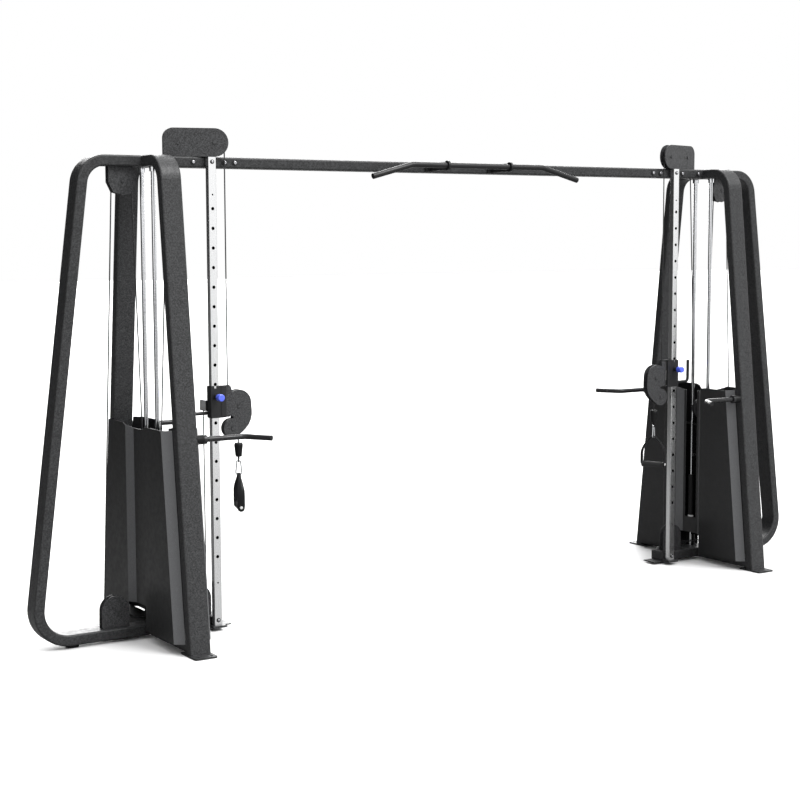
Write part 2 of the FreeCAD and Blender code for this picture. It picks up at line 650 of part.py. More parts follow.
# ---------------------------------------------------------------- pull-up bar and fixed grips
pullup = round_bar([(-622, PULLUP_Y, PULLUP_Z - 60), (-396, PULLUP_Y, PULLUP_Z),
                    (396, PULLUP_Y, PULLUP_Z), (622, PULLUP_Y, PULLUP_Z - 60)], (90, 90), PULLUP_R)


def pullup_bracket(x):
    arm = block(x - 5, x + 5, PULLUP_Y, BEAM_FRONT - 8, PULLUP_Z - 22, PULLUP_Z + 18)
    nose = rod((x - 5, PULLUP_Y, PULLUP_Z), (x + 5, PULLUP_Y, PULLUP_Z), 24)
    flange = block(x - 30, x + 30, BEAM_FRONT - 8, BEAM_FRONT, BEAM_Z - 22, BEAM_Z + 22)
    return fused([arm, nose, flange]).cut(
        rod((x - 10, PULLUP_Y, PULLUP_Z), (x + 10, PULLUP_Y, PULLUP_Z), PULLUP_R + RUN_FIT))


save("pullup_bar", Part.makeCompound(pullup + [pullup_bracket(-190), pullup_bracket(190)]))


def grip_handle(side):
    """A bent bar in a collar on an arch leg's inner side, reaching to the front or the back."""
    y = side * arch_y(HANDLE_Z)
    bar = round_bar([(ARCH_IN, y, HANDLE_Z), (1405, y, HANDLE_Z), (1331, y + side * 123, HANDLE_Z)],
                    (45,), HANDLE_R)
    collar = rod((ARCH_IN - 50, y, HANDLE_Z), (ARCH_IN, y, HANDLE_Z), 21).cut(bar[0])
    return Part.makeCompound(bar + [collar])


save("grip_handles", both([grip_handle(-1), grip_handle(1)]))


# ---------------------------------------------------------------- carriage
C0, C1 = CARRIAGE_Z


def carriage():
    gap = CARRIAGE_PLAY
    x0 = POST_X - POST_W / 2 - gap
    x1 = POST_X + POST_W / 2 + gap
    y0 = POST_FRONT_Y - gap
    y1 = POST_BACK_Y + gap
    wall = CARRIAGE_WALL
    body = block(x0 - wall, x1 + wall, y0 - wall, y1 + wall, C0, C1)
    body = body.makeFillet(4, [e for e in body.Edges if abs(e.Vertexes[0].Z - e.Vertexes[-1].Z) > 100])
    front_ear = block(DROP_X + 20, x0 - wall, y0 - wall, y0 - wall + 6, C0, C1)
    flanges = []
    for z0 in (C0, C1 - FLANGE_T):
        tongue = block(DROP_X, x0 - wall, DROP_Y - FLANGE_R, DROP_Y + FLANGE_R, z0, z0 + FLANGE_T)
        tip = rod((DROP_X, DROP_Y, z0), (DROP_X, DROP_Y, z0 + FLANGE_T), FLANGE_R)
        flanges.append(tongue.fuse(tip))
    barrel = rod((POST_X, y0 - wall - 18, PIN_Z), (POST_X, y0 - wall, PIN_Z), 13)
    ferrule = block(LUG_X - 12.5, LUG_X + 12.5, y1 + wall, 12, LUG_Z, LUG_Z + 50)
    hook = round_bar([(x1 + wall, HOOK_Y, HOOK_Z), (HOOK_X, HOOK_Y, HOOK_Z), (HOOK_X, HOOK_Y, HOOK_TOP_Z)],
                     (20,), 8.5)
    body = fused([body, front_ear, barrel] + flanges)
    body = body.cut(block(x0, x1, y0, y1, C0 - 1, C1 + 1))
    body = body.cut(rod((POST_X, y0 - wall - 30, PIN_Z), (POST_X, y0 + 1, PIN_Z), AXLE_R + RUN_FIT))
    body = body.cut(rod((DROP_X, DROP_Y, C0 - 1), (DROP_X, DROP_Y, C1 + 1), TRUNNION_R + RUN_FIT))
    notch = block(POST_X - 8, POST_X + 8, y0 - wall - 1, y0 + 1, C1 - 12, C1 + 1)
    return Part.makeCompound([body.cut(notch), ferrule] + hook)


save_pair("carriage", carriage())


def pull_pin():
    face = POST_FRONT_Y - CARRIAGE_PLAY - CARRIAGE_WALL - 18
    shank = rod((POST_X, face - 5, PIN_Z), (POST_X, POST_FRONT_Y - 0.5, PIN_Z), AXLE_R)
    neck = rod((POST_X, face - 8, PIN_Z), (POST_X, face - 1, PIN_Z), 10)
    knob = rod((POST_X, face - 42, PIN_Z), (POST_X, face - 8, PIN_Z), 17)
    knob = knob.makeFillet(5, [e for e in knob.Edges if e.Length > 50 and len(e.Vertexes) == 1])
    return fused([shank, neck, knob])


save_pair("pull_pin", pull_pin())


# ---------------------------------------------------------------- swivelling pulley bracket
SILL = C0 + FLANGE_T + 0.4 - UPPER_Z


def kidney(y0, y1):
    """One kidney-shaped side plate, about the swivel axis; x runs towards the machine's middle."""
    upper = disc(50, 10, 66, y0, y1)
    lower = disc(LOWER_IN, LOWER_Z - UPPER_Z, 46, y0, y1)
    back = plate([(60, 70), (97, 56), (114, 24), (118, -20), (118, -44), (113, -68), (102, -90), (88, -107),
                  (68, -125), (45, -140), (20, -60), (40, 0)], y0, y1)
    cheek = plate([(-15, 87), (12, 87), (16, 62), (60, 70), (40, -30), (14, SILL), (-15, SILL)], y0, y1)
    body = fused([upper, lower, back, cheek])
    body = body.cut(block(-70, 10.5, y0 - 1, y1 + 1, -54, SILL))
    return body.cut(block(-70, -15.5, y0 - 1, y1 + 1, SILL, 100))


def pulley_bracket():
    front = kidney(-PLATE_IN - PLATE_T, -PLATE_IN)
    back = kidney(PLATE_IN, PLATE_IN + PLATE_T)
    roof = block(-15, 12, -PLATE_IN, PLATE_IN, 63, C1 - FLANGE_T - UPPER_Z - 0.4)
    sill = block(-15, 8, -PLATE_IN, PLATE_IN, SILL, SILL + 3)
    upper_stub = rod((0, 0, 64), (0, 0, C1 - UPPER_Z), TRUNNION_R)
    lower_stub = rod((0, 0, C0 - UPPER_Z), (0, 0, SILL + 1), TRUNNION_R)
    axles = [axle(UPPER_R, 0), axle(LOWER_IN, LOWER_Z - UPPER_Z)]
    body = fused([front, back, roof, sill, upper_stub, lower_stub] + axles)
    return body.cut(rod((0, 0, 50), (0, 0, 120), CABLE_R + 1.5))


def from_swivel(shape):
    """From bracket coordinates (x towards the middle) to the right-hand tower."""
    turned = shape.mirror(V(0, 0, 0), V(1, 0, 0))
    turned.translate(V(DROP_X, DROP_Y, UPPER_Z))
    return turned


save_pair("bracket_upper_pulley", from_swivel(place(pulley(UPPER_R), (UPPER_R, 0, 0))))
save_pair("bracket_lower_pulley", from_swivel(place(pulley(LOWER_R), (LOWER_IN, 0, LOWER_Z - UPPER_Z))))

gap_x = LOWER_IN - UPPER_R
gap_z = LOWER_Z - UPPER_Z
spread = math.hypot(gap_x, gap_z)
heading = math.degrees(math.atan2(gap_z, gap_x)) % 360
leave = heading - math.degrees(math.acos((UPPER_R + LOWER_R) / spread))
round_upper, u0, u1 = turn_edge((UPPER_R, 0, 0), UPPER_R, 180, leave)
round_lower, w0, w1 = turn_edge((LOWER_IN, 0, gap_z), LOWER_R, leave - 180, 0)
bracket_cable = arc_bar([round_upper, Part.LineSegment(u1, w0).toShape(), round_lower], CABLE_R, u0,
                        (0, 0, -1))
save_pair("pulley_bracket", from_swivel(Part.makeCompound([pulley_bracket(), bracket_cable])))
HANG_X = DROP_X - LOWER_IN - LOWER_R
save_pair("cable_drop_run", rod((HANG_X, DROP_Y, STOPPER_TOP_Z), (HANG_X, DROP_Y, LOWER_Z), CABLE_R))


# ---------------------------------------------------------------- what hangs on the cable
def cable_end():
    """A tapered rubber stopper on a swaged ferrule that ends in an eye."""
    top = Part.makeCone(21, 17, 10, V(0, 0, STOPPER_TOP_Z - 10), V(0, 0, 1))
    taper = Part.makeCone(15, 21, STOPPER_TOP_Z - 10 - STOPPER_BASE_Z, V(0, 0, STOPPER_BASE_Z), V(0, 0, 1))
    ferrule = rod((0, 0, EYE_Z + 8), (0, 0, STOPPER_BASE_Z + 1), 5)
    eye = Part.makeTorus(9, 2.5, V(0, 0, EYE_Z), V(0, 1, 0))
    return fused([top, taper, ferrule, eye])


LINK_R = 3.5
LINK_NECK = 8.5           # half widths of the snap link's centreline, at the eye and at the strap
LINK_FOOT = 15.0


def snap_link():
    """A closed snap link of round bar, narrower at the eye, in the plane square to the eye's."""
    top = EYE_Z
    low = EYE_Z - LINK_H
    crook = 12.0
    flare = (LINK_FOOT - LINK_NECK) / LINK_H
    y_top = LINK_NECK + flare * crook
    y_low = LINK_FOOT - flare * crook
    upper = round_bar([(0, y_top, top - crook), (0, LINK_NECK, top), (0, -LINK_NECK, top),
                       (0, -y_top, top - crook)], (5.5, 5.5), LINK_R)
    lower = round_bar([(0, y_low, low + crook), (0, LINK_FOOT, low), (0, -LINK_FOOT, low),
                       (0, -y_low, low + crook)], (9.0, 9.0), LINK_R)
    sides = [rod((0, w * y_low, low + crook), (0, w * y_top, top - crook), LINK_R) for w in (-1, 1)]
    return Part.makeCompound(upper + lower + sides)


STRAP_W = 36.0
STRAP_NECK = 15.0
STRAP_T = 3.5
SHOULDER_Z = 652.0


def strap():
    """The webbing loop: over the snap link, down to both ends of the grip and through it."""
    crown = EYE_Z - LINK_H + LINK_R + 0.8 + STRAP_T
    reach = GRIP_HALF + 10
    t = STRAP_T
    outer = [(reach, GRIP_Z - 2), (reach, SHOULDER_Z), (48, SHOULDER_Z + 46), (8, crown), (0, crown)]
    inner = [(reach - t, GRIP_Z - 2), (reach - t, SHOULDER_Z - 1), (46, SHOULDER_Z + 42.6), (6.5, crown - t),
             (0, crown - t)]
    side = [(-STRAP_W / 2, GRIP_Z - 5), (-STRAP_W / 2, crown - 75), (-STRAP_NECK / 2, crown - 20),
            (-STRAP_NECK / 2, crown + 5)]
    side = side + [(-y, z) for y, z in reversed(side)]
    taper = Part.Face(Part.makePolygon([V(-reach - 5, y, z) for y, z in side + side[:1]]))
    taper = taper.extrude(V(2 * reach + 10, 0, 0))
    lengths = []
    for way in (-1, 1):
        for i in range(4):
            corners = [outer[i], outer[i + 1], inner[i + 1], inner[i]]
            ring = [V(way * x, -STRAP_W / 2, z) for x, z in corners + corners[:1]]
            slab = Part.Face(Part.makePolygon(ring)).extrude(V(0, STRAP_W, 0))
            lengths.append(slab.common(taper))
    lengths.append(block(t - reach, reach - t, -12.0, 12.0, GRIP_Z - 2, GRIP_Z + 2))
    return lengths


def hanging_grip():
    tube = rod((-GRIP_HALF, 0, GRIP_Z), (GRIP_HALF, 0, GRIP_Z), 16)
    tube = tube.cut(rod((-GRIP_HALF - 1, 0, GRIP_Z), (GRIP_HALF + 1, 0, GRIP_Z), 13))
    caps = []
    for way in (-1, 1):
        cap = rod((way * GRIP_HALF, 0, GRIP_Z), (way * (GRIP_HALF + 6), 0, GRIP_Z), 17.5)
        caps.append(cap.cut(rod((way * (GRIP_HALF - 1), 0, GRIP_Z), (way * (GRIP_HALF + 7), 0, GRIP_Z), 13)))
    for way in (-1, 1):
        caps.append(rod((way * (GRIP_HALF + 10), 0, GRIP_Z + 5), (way * (GRIP_HALF + 12.5), 0, GRIP_Z + 5), 7))
    return strap() + [tube] + caps


for side, sign in (("right", 1), ("left", -1)):
    spot = (sign * HANG_X, DROP_Y, 0)
    save("cable_end_" + side, place(cable_end(), spot, TURN[side]))
    save("snap_link_" + side, place(snap_link(), spot, TURN[side]))
    save("strap_handle_" + side, place(Part.makeCompound(hanging_grip()), spot, TURN[side]))
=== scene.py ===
import bpy
import math
from mathutils import Matrix, Vector


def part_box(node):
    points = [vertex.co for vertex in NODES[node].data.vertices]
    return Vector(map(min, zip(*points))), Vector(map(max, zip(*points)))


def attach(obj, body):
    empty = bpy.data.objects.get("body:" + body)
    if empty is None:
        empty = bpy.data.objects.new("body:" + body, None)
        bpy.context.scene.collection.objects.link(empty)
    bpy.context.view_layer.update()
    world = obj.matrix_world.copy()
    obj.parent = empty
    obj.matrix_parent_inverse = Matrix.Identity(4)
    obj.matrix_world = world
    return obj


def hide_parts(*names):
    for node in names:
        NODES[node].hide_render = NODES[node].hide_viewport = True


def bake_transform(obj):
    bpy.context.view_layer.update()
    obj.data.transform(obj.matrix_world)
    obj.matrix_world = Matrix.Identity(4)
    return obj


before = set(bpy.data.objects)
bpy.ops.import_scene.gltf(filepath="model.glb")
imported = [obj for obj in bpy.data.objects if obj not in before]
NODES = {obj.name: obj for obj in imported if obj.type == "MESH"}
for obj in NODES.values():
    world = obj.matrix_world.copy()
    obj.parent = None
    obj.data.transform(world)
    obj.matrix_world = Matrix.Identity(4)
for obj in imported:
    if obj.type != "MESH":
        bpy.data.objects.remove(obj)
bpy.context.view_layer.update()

SIDES = (("right", 1.0), ("left", -1.0))
# how far each webbing handle hangs turned about its cable
TURN = {"left": math.radians(71.0), "right": math.radians(-64.0)}


# ---------------------------------------------------------------- camera
CAM_YAW, CAM_PITCH, CAM_ROLL = 32.61, 5.56, -0.19
CAM_AT = (-4.7827, -6.9382, 1.8391)
CAM_SHIFT = (0.0008, -0.0037)
FOCAL_PX, FRAME_PX, SENSOR_MM = 1641.44, 800.0, 36.0
yaw, pitch, roll = math.radians(CAM_YAW), math.radians(CAM_PITCH), math.radians(CAM_ROLL)
ahead = Vector((math.sin(yaw) * math.cos(pitch), math.cos(yaw) * math.cos(pitch), -math.sin(pitch)))
right = Vector((math.cos(yaw), -math.sin(yaw), 0.0))
up = right.cross(ahead)
axis_r = right * math.cos(roll) + up * math.sin(roll)
axis_u = up * math.cos(roll) - right * math.sin(roll)
cam_data = bpy.data.cameras.new("photo_camera")
cam_data.sensor_width = SENSOR_MM
cam_data.lens = FOCAL_PX * SENSOR_MM / FRAME_PX
cam_data.shift_x, cam_data.shift_y = CAM_SHIFT
cam_data.clip_end = 100.0
cam = bpy.data.objects.new("photo_camera", cam_data)
rows = [(axis_r[i], axis_u[i], -ahead[i], CAM_AT[i]) for i in range(3)]
cam.matrix_world = Matrix(rows + [(0, 0, 0, 1)])
bpy.context.scene.collection.objects.link(cam)
bpy.context.scene.camera = cam


# ---------------------------------------------------------------- materials
class Nodes:
    """A short way to write a material's node tree."""

    def __init__(self, name=None, mat=None):
        self.mat = mat or bpy.data.materials.new(name)
        self.mat.use_nodes = True
        self.tree = self.mat.node_tree
        self.bsdf = next(n for n in self.tree.nodes if n.type == "BSDF_PRINCIPLED")
        self.coords = self.add("ShaderNodeTexCoord").outputs["Object"]

    def add(self, kind, **inputs):
        node = self.tree.nodes.new(kind)
        for key, value in inputs.items():
            key = key.replace("_", " ")
            self.put(node.inputs[key], value)
        return node

    def put(self, socket, value):
        if isinstance(value, bpy.types.NodeSocket):
            self.tree.links.new(value, socket)
        else:
            socket.default_value = value

    def set(self, **inputs):
        for key, value in inputs.items():
            self.put(self.bsdf.inputs[key.replace("_", " ")], value)

    def stretch(self, x, y, z, source=None):
        node = self.add("ShaderNodeMapping")
        self.put(node.inputs["Vector"], source or self.coords)
        node.inputs["Scale"].default_value = (x, y, z)
        return node.outputs["Vector"]

    def noise(self, scale, detail=2.0, rough=0.5, source=None):
        node = self.add("ShaderNodeTexNoise", Scale=scale, Detail=detail, Roughness=rough)
        self.put(node.inputs["Vector"], source or self.coords)
        return node.outputs["Fac"]

    def span(self, value, low, high, to_low=0.0, to_high=1.0):
        node = self.add("ShaderNodeMapRange")
        self.put(node.inputs["Value"], value)
        limits = (("From Min", low), ("From Max", high), ("To Min", to_low), ("To Max", to_high))
        for key, number in limits:
            node.inputs[key].default_value = number
        return node.outputs["Result"]

    def mix(self, factor, a, b, blend="MIX"):
        node = self.tree.nodes.new("ShaderNodeMix")
        node.data_type = "RGBA"
        node.blend_type = blend
        self.put(node.inputs[0], factor)
        self.put(node.inputs[6], a if isinstance(a, bpy.types.NodeSocket) else (*a, 1.0))
        self.put(node.inputs[7], b if isinstance(b, bpy.types.NodeSocket) else (*b, 1.0))
        return node.outputs[2]

    def math(self, kind, a, b=0.0):
        node = self.tree.nodes.new("ShaderNodeMath")
        node.operation = kind
        self.put(node.inputs[0], a)
        self.put(node.inputs[1], b)
        return node.outputs[0]

    def bump(self, height, distance, strength=1.0):
        node = self.add("ShaderNodeBump", Strength=strength, Distance=distance)
        self.put(node.inputs["Height"], height)
        self.put(self.bsdf.inputs["Normal"], node.outputs["Normal"])


def shade(colour, factor):
    return tuple(min(1.0, c * factor) for c in colour)


def powder(name, colour, fleck, rough, coarse=False):
    """Textured powder coat: an orange-peel skin with paler flecks, and clouds or coarse patches."""
    n = Nodes(name)
    flecks = n.span(n.noise(620.0, 2.0, 0.6), 0.56, 0.70)
    cloud = n.span(n.noise(3.1, 3.0), 0.35, 0.65)
    base = n.mix(cloud, shade(colour, 0.88), shade(colour, 1.12))
    if coarse:
        patches = n.span(n.noise(150.0, 3.0, 0.7), 0.42, 0.62)
        base = n.mix(patches, shade(colour, 0.45), shade(colour, 1.7))
    n.set(Base_Color=n.mix(flecks, base, shade(colour, fleck)))
    n.set(Roughness=n.span(n.noise(45.0, 2.0), 0.3, 0.7, rough - 0.06, rough + 0.08))
    n.set(Specular_IOR_Level=0.35)
    n.bump(n.noise(430.0, 2.0, 0.55), 0.00035, 0.55)
    return n.mat


def lined(name, colour, outward):
    """Powder coat on the side a shroud shows, and plain black on its hidden side.

    outward is 1 for the panel away from the machine's middle and -1 for the one towards it.
    The bevels and the channel's sides, which face partly along Y, get a painted highlight: a paler
    colour standing in for the light they catch.
    """
    n = Nodes(name)
    flecks = n.span(n.noise(620.0, 2.0, 0.6), 0.56, 0.70)
    cloud = n.span(n.noise(3.1, 3.0), 0.35, 0.65)
    base = n.mix(cloud, shade(colour, 0.9), shade(colour, 1.1))
    coat = n.mix(flecks, base, shade(colour, 3.0))
    place = n.add("ShaderNodeSeparateXYZ")
    n.put(place.inputs[0], n.coords)
    facing = n.add("ShaderNodeSeparateXYZ")
    n.put(facing.inputs[0], n.add("ShaderNodeNewGeometry").outputs["True Normal"])
    side = n.math("MULTIPLY", place.outputs["X"], facing.outputs["X"])
    shown = n.span(side, -0.03 * outward, 0.03 * outward)
    # painted highlight: faces turned partly along Y are given a much paler coat colour, standing in for
    # the light they catch
    painted_slant_highlight = n.span(n.math("ABSOLUTE", facing.outputs["Y"]), 0.22, 0.40)
    coat = n.mix(painted_slant_highlight, coat, n.mix(flecks, shade(colour, 6.4), shade(colour, 13.0)))
    n.set(Base_Color=n.mix(shown, (0.006, 0.006, 0.007), coat))
    n.set(Roughness=n.span(n.noise(45.0, 2.0), 0.3, 0.7, 0.38, 0.50))
    n.set(Specular_IOR_Level=0.5)
    n.bump(n.noise(430.0, 2.0, 0.55), 0.00035, 0.55)
    return n.mat


def metal(name, colour, rough, streak=(1, 1, 1), streak_amount=0.06, scale=300.0, bump=0.00004):
    """Plated or brushed metal; streak stretches the fine scratches along one way."""
    n = Nodes(name)
    fine = n.noise(scale, 3.0, 0.6, n.stretch(*streak))
    broad = n.noise(6.0, 2.0)
    n.set(Metallic=1.0)
    n.set(Base_Color=n.mix(n.span(fine, 0.3, 0.7), shade(colour, 0.90), shade(colour, 1.04)))
    streaks = n.span(fine, 0.3, 0.7, -streak_amount, streak_amount)
    smears = n.span(broad, 0.3, 0.7, -0.02, 0.03)
    n.set(Roughness=n.math("ADD", n.math("ADD", streaks, smears), rough))
    n.bump(fine, bump, 0.4)
    return n.mat


SKIN = 0.0004             # how far in from a tube's faces counts as inside


def shade_the_bores(mat, node):
    """Painted shade: dark bore and hole walls for a pair of upright tubes that stand either side of x =
    0.
    """
    n = Nodes(mat=mat)
    low, high = Vector((9, 9, 9)), Vector((-9, -9, -9))
    for v in NODES[node].data.vertices:
        p = NODES[node].matrix_world @ v.co
        if p.x > 0:
            low = Vector(map(min, low, p))
            high = Vector(map(max, high, p))
    place = n.add("ShaderNodeSeparateXYZ")
    n.put(place.inputs[0], n.coords)
    within = []
    for value, a, b in ((n.math("ABSOLUTE", place.outputs["X"]), low.x, high.x),
                        (place.outputs["Y"], low.y, high.y)):
        off = n.math("ABSOLUTE", n.math("SUBTRACT", value, (a + b) / 2))
        within.append(n.math("LESS_THAN", off, (b - a) / 2 - SKIN))
    bore_shade_mask = n.math("MULTIPLY", *within)
    coat = n.bsdf.inputs["Base Color"].links[0].from_socket
    # painted shade: the bores and hole walls get a near-black, non-metallic colour standing in for the
    # shade in them
    n.set(Base_Color=n.mix(bore_shade_mask, coat, (0.012, 0.012, 0.012)))
    n.set(Metallic=n.math("SUBTRACT", 1.0, bore_shade_mask))


def moulded(name, colour, rough, coat=0.0, grain=900.0, bump=0.00008, gloss=0.5):
    """Moulded plastic or rubber with a fine spark-eroded grain."""
    n = Nodes(name)
    soft = n.span(n.noise(14.0, 3.0), 0.3, 0.7)
    n.set(Base_Color=n.mix(soft, shade(colour, 0.86), shade(colour, 1.14)))
    n.set(Roughness=n.span(n.noise(90.0, 2.0), 0.3, 0.7, rough - 0.05, rough + 0.07))
    n.set(Specular_IOR_Level=gloss)
    n.set(Coat_Weight=coat)
    n.set(Coat_Roughness=0.12)
    n.bump(n.noise(grain, 2.0), bump, 0.5)
    return n.mat


def woven(name, colour):
    """Heavy webbing: ribs across the strap with yarns that pass over and under."""
    n = Nodes(name)
    across = n.add("ShaderNodeTexWave", Scale=95.0, Distortion=0.25)
    across.bands_direction = "Z"
    n.put(across.inputs["Vector"], n.coords)
    along = n.add("ShaderNodeTexWave", Scale=130.0, Distortion=0.2)
    along.bands_direction = "Y"
    n.put(along.inputs["Vector"], n.coords)
    weave = n.math("MULTIPLY", across.outputs["Fac"], along.outputs["Fac"])
    fuzz = n.noise(1500.0, 2.0)
    n.set(Base_Color=n.mix(n.span(weave, 0.0, 0.9), shade(colour, 0.55), shade(colour, 1.9)))
    n.set(Roughness=n.span(fuzz, 0.3, 0.7, 0.78, 0.95))
    n.set(Sheen_Weight=0.04)
    n.set(Sheen_Roughness=0.5)
    n.set(Specular_IOR_Level=0.20)
    n.set(Coat_Weight=0.15)
    n.set(Coat_Roughness=0.15)
    n.bump(n.math("ADD", weave, n.math("MULTIPLY", fuzz, 0.3)), 0.0005, 0.7)
    return n.mat


FRAME = powder("frame_powder_coat", (0.026, 0.0265, 0.0275), 4.2, 0.42, True)
# both shroud coats carry a painted highlight on the faces turned along Y
SHROUD_OUT = lined("outer_shroud_coat", (0.017, 0.0173, 0.018), 1.0)
SHROUD_IN = lined("inner_shroud_coat", (0.017, 0.0173, 0.018), -1.0)
GUARD = powder("guard_powder_coat", (0.036, 0.0365, 0.038), 4.2, 0.42, True)
CARRIAGE = powder("carriage_powder_coat", (0.014, 0.0143, 0.015), 3.0, 0.36)
PLATES = moulded("weight_plate_paint", (0.003, 0.003, 0.0032), 0.55, 0.0, 600.0, 0.0001, 0.12)
PULLUP = powder("pullup_grip_coat", (0.010, 0.010, 0.0105), 3.0, 0.36)
POST = metal("post_satin_chrome", (0.95, 0.955, 0.96), 0.20, (60, 60, 1), 0.01, 18.0, 0.000002)
# painted shade in the guide posts' bores and holes
shade_the_bores(POST, "guide_posts")
RODS = metal("rod_hard_chrome", (0.86, 0.87, 0.89), 0.10, (1, 1, 30), 0.03, 12.0)
GRIPS = powder("grip_gloss_black", (0.016, 0.016, 0.017), 3.0, 0.22)
BOLTS = metal("bolt_bright_zinc", (0.52, 0.52, 0.54), 0.26, (1, 1, 1), 0.05, 700.0)
LINK = metal("link_polished_steel", (0.72, 0.73, 0.75), 0.16, (1, 1, 1), 0.05, 500.0)
NYLON = moulded("pulley_nylon", (0.020, 0.020, 0.022), 0.42)
JACKET = moulded("cable_jacket", (0.012, 0.012, 0.013), 0.32, 0.2, 400.0)
RUBBER = moulded("black_rubber", (0.008, 0.008, 0.0085), 0.45, 0.0, 1200.0, 0.00012, 0.18)
CAPS = moulded("black_end_cap", (0.015, 0.015, 0.016), 0.45)
KNOB = moulded("blue_knob", (0.10, 0.155, 0.93), 0.24, 0.6)
PALE = moulded("pale_plastic", (0.74, 0.74, 0.74), 0.35, 0.3)
ALLOY = moulded("cast_alloy", (0.47, 0.47, 0.47), 0.45, 0.0, 260.0)
FOAM = moulded("grip_sleeve", (0.016, 0.016, 0.017), 0.55, 0.0, 500.0, 0.0003)
WEB = woven("black_webbing", (0.007, 0.007, 0.008))


def paint(node, material):
    mesh = NODES[node].data
    mesh.materials.clear()
    mesh.materials.append(material)


FINISH = (
    (FRAME, ("arch_frame", "side_loop", "base_rails", "crossbeam", "mounting_plates")),
    (SHROUD_OUT, ("outer_shrouds",)),
    (SHROUD_IN, ("inner_shrouds",)),
    (GUARD, ("pulley_guards", "pulley_bracket")),
    (CARRIAGE, ("carriage", "frame_bolts")),
    (PLATES, ("stack_head", "resting_plates")),
    (POST, ("guide_posts",)),
    (RODS, ("guide_rods",)),
    (GRIPS, ("grip_handles",)),
    (LINK, ("snap_link",)),
    (KNOB, ("pull_pin",)),
    (CAPS, ("selector_pin",)),
    (RUBBER, ("rubber_parts", "cable_end")),
    (PULLUP, ("pullup_bar",)),
)
for node in NODES:
    stem = node.rsplit("_", 1)[0] if node.endswith(("_left", "_right")) else node
    other = NYLON if stem.endswith("pulley") else JACKET
    paint(node, next((coat for coat, stems in FINISH if stem in stems), other))


# ---------------------------------------------------------------- mesh helpers
def piece(name, verts, faces, material, body, smooth=True):
    """A visible mesh in the shared frame, which rides a body and fills a material slot."""
    mesh = bpy.data.meshes.new(name)
    mesh.from_pydata([tuple(v) for v in verts], [], faces)
    mesh.materials.append(material)
    mesh.validate()
    if smooth:
        mesh.polygons.foreach_set("use_smooth", [True] * len(mesh.polygons))
    obj = bpy.data.objects.new(name, mesh)
    bpy.context.scene.collection.objects.link(obj)
    if body:
        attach(obj, body)
    return obj


def sharpen(obj, degrees=35.0):
    """Smooth shading that keeps edges sharper than the angle."""
    mesh = obj.data
    mesh.polygons.foreach_set("use_smooth", [True] * len(mesh.polygons))
    mesh.set_sharp_from_angle(angle=math.radians(degrees))
    return obj


def swept(points, ring, normal=Vector((0, 1, 0))):
    """Vertices and faces of a ring (pairs along side and normal) carried along an open path."""
    verts, faces = [], []
    pts = [Vector(p) for p in points]
    count = len(pts)
    for i, p in enumerate(pts):
        before = pts[i - 1] if i > 0 else p
        after = pts[i + 1] if i < count - 1 else p
        way = (after - before).normalized()
        side = way.cross(normal).normalized()
        nor = side.cross(way).normalized()
        section = ring(i) if callable(ring) else ring
        verts += [p + side * a + nor * b for a, b in section]
    size = len(section)
    for i in range(count - 1):
        j = i + 1
        for k in range(size):
            m = (k + 1) % size
            faces.append((i * size + k, i * size + m, j * size + m, j * size + k))
    faces.append(tuple(range(size))[::-1])
    faces.append(tuple(range((count - 1) * size, count * size)))
    return verts, faces


def circle(radius, count):
    return [(radius * math.cos(2 * math.pi * i / count), radius * math.sin(2 * math.pi * i / count))
            for i in range(count)]


def straight(a, b, count):
    a, b = Vector(a), Vector(b)
    return [a.lerp(b, i / count) for i in range(count + 1)]


def lathe(profile, origin, axis, count=40):
    """A solid of revolution from (along, radius) pairs."""
    axis = Vector(axis).normalized()
    side = axis.orthogonal().normalized()
    other = axis.cross(side)
    verts, faces = [], []
    for along, radius in profile:
        for i in range(count):
            t = 2 * math.pi * i / count
            out = side * math.cos(t) + other * math.sin(t)
            verts.append(Vector(origin) + axis * along + out * radius)
    for j in range(len(profile) - 1):
        for i in range(count):
            m = (i + 1) % count
            faces.append((j * count + i, j * count + m, (j + 1) * count + m, (j + 1) * count + i))
    return verts, faces


def turned(name, profile, origin, axis, material, body):
    verts, faces = lathe(profile, origin, axis)
    return sharpen(piece(name, verts, faces, material, body))


def centre(node):
    low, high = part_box(node)
    return (low + high) / 2


# ---------------------------------------------------------------- straight cable runs
CABLE_R = 0.003


def cable_run(name, top, bottom, node):
    """One straight run of cable, built in place of the part node that it hides."""
    verts, faces = swept(straight(top, bottom, 48), circle(CABLE_R, 14))
    obj = piece(name, verts, faces, JACKET, None)
    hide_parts(node)
    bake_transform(obj)


CABLE_RUNS = (("cable_upper_run", "frame", "carriage"),
              ("cable_lower_run", "frame", "carriage"),
              ("cable_drop_run", "bracket", "cable_end"),
              ("stack_cable_in", "frame", "stack"),
              ("stack_cable_out", "frame", "stack"))
for side, s in SIDES:
    for stem, upper, lower in CABLE_RUNS:
        node = stem + "_" + side
        low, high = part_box(node)
        y_top = y_low = (low.y + high.y) / 2
        x_top = x_low = (low.x + high.x) / 2
        if stem.startswith("stack"):
            x_in, x_far = low.x + CABLE_R, high.x - CABLE_R
            if s < 0:
                x_in, x_far = x_far, x_in
            x_low, x_top = x_in, x_far
            if stem == "stack_cable_in":
                x_low, x_top = x_far, x_in
                y_top, y_low = high.y - CABLE_R, 0.0
        top, bottom = Vector((x_top, y_top, high.z)), Vector((x_low, y_low, low.z))
        if stem == "cable_lower_run":
            cable_run("run_" + node, bottom, top, node)
        else:
            cable_run("run_" + node, top, bottom, node)


